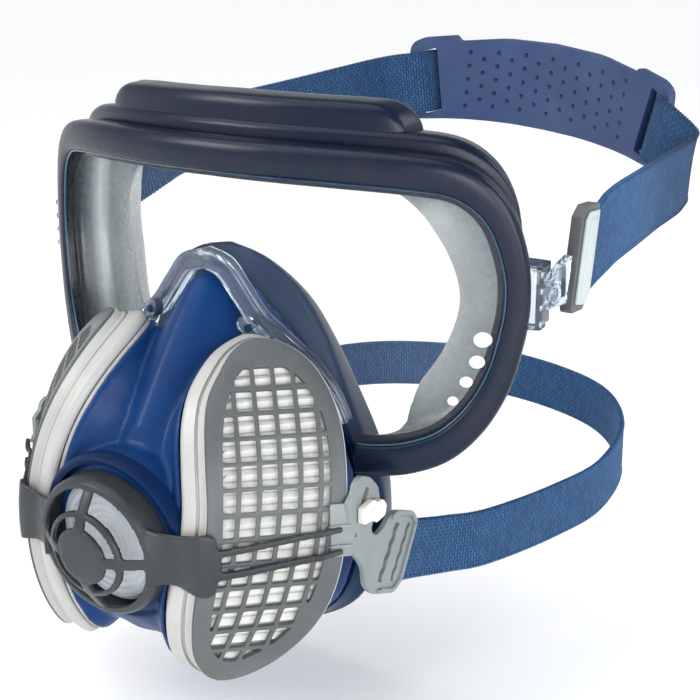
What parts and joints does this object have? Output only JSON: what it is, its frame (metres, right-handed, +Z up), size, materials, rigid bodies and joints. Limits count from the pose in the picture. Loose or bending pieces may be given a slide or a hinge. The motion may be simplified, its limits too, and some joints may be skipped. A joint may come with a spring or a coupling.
{
  "type": "full-face respirator",
  "caption": "Goggles joined to a half mask with side filters, an exhalation valve, a head harness and a neck strap.",
  "frame": {"origin": "on the midline of the plane where the seals meet the face, level with the pupils", "axes": "+X to the wearer's left, +Y into the wearer's head, +Z up"},
  "size_m": [0.2028, 0.2693, 0.1818],
  "materials": {
    "lens_clear": "clear gloss",
    "navy_frame": "satin",
    "grey_skirt": "satin, translucent",
    "navy_body": "satin",
    "navy_soft": "soft satin",
    "clear_clip": "clear gloss",
    "white_rim": "satin",
    "grey_grille": "satin",
    "filter_paper": "pleated, matte",
    "seal_rubber": "matte",
    "valve_silicone": "satin, translucent",
    "bracket_grey": "satin",
    "pin_white": "satin",
    "webbing_blue": "ribbed elastic",
    "plate_navy": "soft, studded",
    "buckle_dark": "satin",
    "buckle_pale": "satin"
  },
  "bodies": {
    "mask": {"lens": "lens_clear", "goggle_frame": "navy_frame", "goggle_skirt": "grey_skirt", "brow_vent_housing": "navy_frame", "brow_vent_cover": "navy_frame", "nose_clip": "clear_clip", "clip_stud_left": "seal_rubber", "clip_stud_right": "seal_rubber", "half_mask_shell": "navy_body", "half_mask_seal": "navy_soft", "exhalation_seat": "valve_silicone", "harness_yoke": "grey_grille", "filter_rim_left": "white_rim", "filter_rim_right": "white_rim", "filter_grille_left": "grey_grille", "filter_grille_right": "grey_grille", "filter_media_left": "filter_paper", "filter_media_right": "filter_paper", "filter_base_left": "white_rim", "filter_base_right": "white_rim", "filter_gasket_left": "seal_rubber", "filter_gasket_right": "seal_rubber", "inhalation_seat_left": "seal_rubber", "inhalation_seat_right": "seal_rubber", "strap_bracket_left": "bracket_grey", "strap_bracket_right": "bracket_grey", "bracket_pin_left": "pin_white", "bracket_pin_right": "pin_white", "temple_block_left": "clear_clip", "temple_block_right": "clear_clip", "temple_pin_left": "clear_clip", "temple_pin_right": "clear_clip"},
    "head_harness": {"temple_link_left": "clear_clip", "temple_link_right": "clear_clip", "temple_buckle_left": "buckle_dark", "temple_buckle_right": "buckle_dark", "buckle_insert_left": "buckle_pale", "buckle_insert_right": "buckle_pale", "head_strap_left": "webbing_blue", "head_strap_right": "webbing_blue", "head_plate": "plate_navy"},
    "neck_harness": {"neck_strap": "webbing_blue"},
    "exhalation_flap": {"exhalation_flap": "valve_silicone"},
    "inhalation_flap_left": {"inhalation_flap_left": "valve_silicone"},
    "inhalation_flap_right": {"inhalation_flap_right": "valve_silicone"}
  },
  "joints": [
    {"name": "head_harness_swing", "type": "hinge", "parent": "mask", "child": "head_harness", "pos_m": [0.0975, -0.0105, 0.0045], "axis": [1, 0, 0], "range_deg": [-20, 30]},
    {"name": "neck_harness_swing", "type": "hinge", "parent": "mask", "child": "neck_harness", "pos_m": [0.063, -0.039, -0.0768], "axis": [1, 0, 0], "range_deg": [-20, 20]},
    {"name": "exhalation_flap_lift", "type": "slide", "parent": "mask", "child": "exhalation_flap", "axis": [0, -0.9962, -0.0872], "range_m": [0, 0.002], "stiffness_N_per_m": 60},
    {"name": "inhalation_flap_lift_left", "type": "slide", "parent": "mask", "child": "inhalation_flap_left", "axis": [-0.7224, 0.6645, -0.1913], "range_m": [0, 0.0015], "stiffness_N_per_m": 60},
    {"name": "inhalation_flap_lift_right", "type": "slide", "parent": "mask", "child": "inhalation_flap_right", "axis": [0.7224, 0.6645, -0.1913], "range_m": [0, 0.0015], "stiffness_N_per_m": 60}
  ],
  "couplings": [
    {"joint": "inhalation_flap_lift_right", "follows": "inhalation_flap_lift_left", "ratio": 1}
  ]
}
